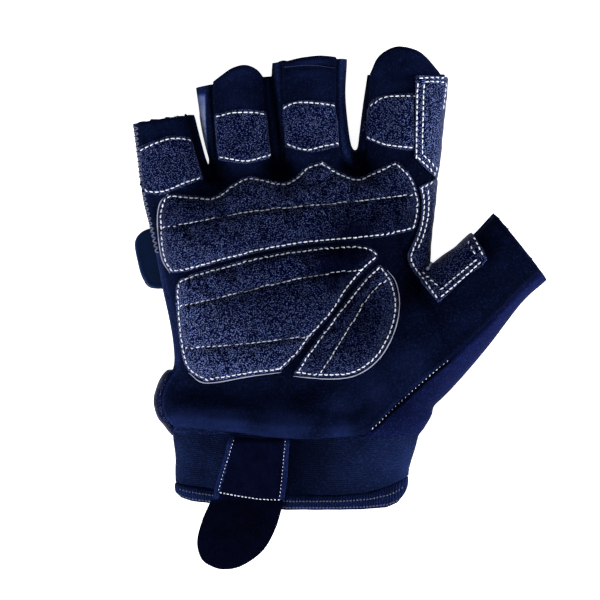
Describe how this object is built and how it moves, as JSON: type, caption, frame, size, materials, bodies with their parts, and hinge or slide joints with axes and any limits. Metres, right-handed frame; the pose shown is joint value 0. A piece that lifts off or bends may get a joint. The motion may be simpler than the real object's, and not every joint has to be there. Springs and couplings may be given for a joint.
{
  "type": "padded half-finger training glove",
  "caption": "Right-hand sport glove with open fingertips, quilted palm pads, leather finger patches, knit back, stretch cuff, pull tongue and a hook-and-loop fastening, lying palm up.",
  "frame": {"origin": "bottom centre of the glove's box, on the surface that it lies on", "axes": "+Y from the wrist to the fingertips, +X towards the thumb, +Z out of the palm"},
  "size_m": [0.1551, 0.1949, 0.0314],
  "materials": {
    "palm_suede": "soft dark navy synthetic suede",
    "back_knit": "blue violet stretch knit",
    "side_knit": "navy stretch knit",
    "pad_leather": "pebbled blue leather with a pale grain",
    "patch_leather": "pebbled blue leather with a pale grain",
    "cuff_neoprene": "navy ribbed stretch cloth over foam",
    "hem_tape": "navy turned hem with cover stitching",
    "tongue_suede": "dark navy synthetic suede",
    "strap_leather": "dark blue pebbled leather",
    "strap_webbing": "navy loop tape",
    "tab_rubber": "smooth deep blue, satin",
    "thread": "off-white sewing thread",
    "seam_thread": "navy overlock thread",
    "pad_backing": "grey cut edge of the foam and leather"
  },
  "bodies": {
    "root": {"palm_panel": "palm_suede", "back_panel": "back_knit", "little_side": "side_knit", "fourchette_little_ring": "side_knit", "fourchette_ring_middle": "side_knit", "fourchette_middle_index": "side_knit", "thumb_gusset": "side_knit", "knuckle_pad": "pad_leather", "heel_pad": "pad_leather", "thumb_pad": "pad_leather", "little_patch": "patch_leather", "ring_patch": "patch_leather", "middle_patch": "patch_leather", "index_patch": "patch_leather", "saddle_patch": "patch_leather", "cuff": "cuff_neoprene", "cuff_binding": "hem_tape", "pull_tongue": "tongue_suede", "wrist_strap": "strap_leather", "closure_strap": "strap_webbing", "closure_tab": "tab_rubber"}
  },
  "joints": []
}
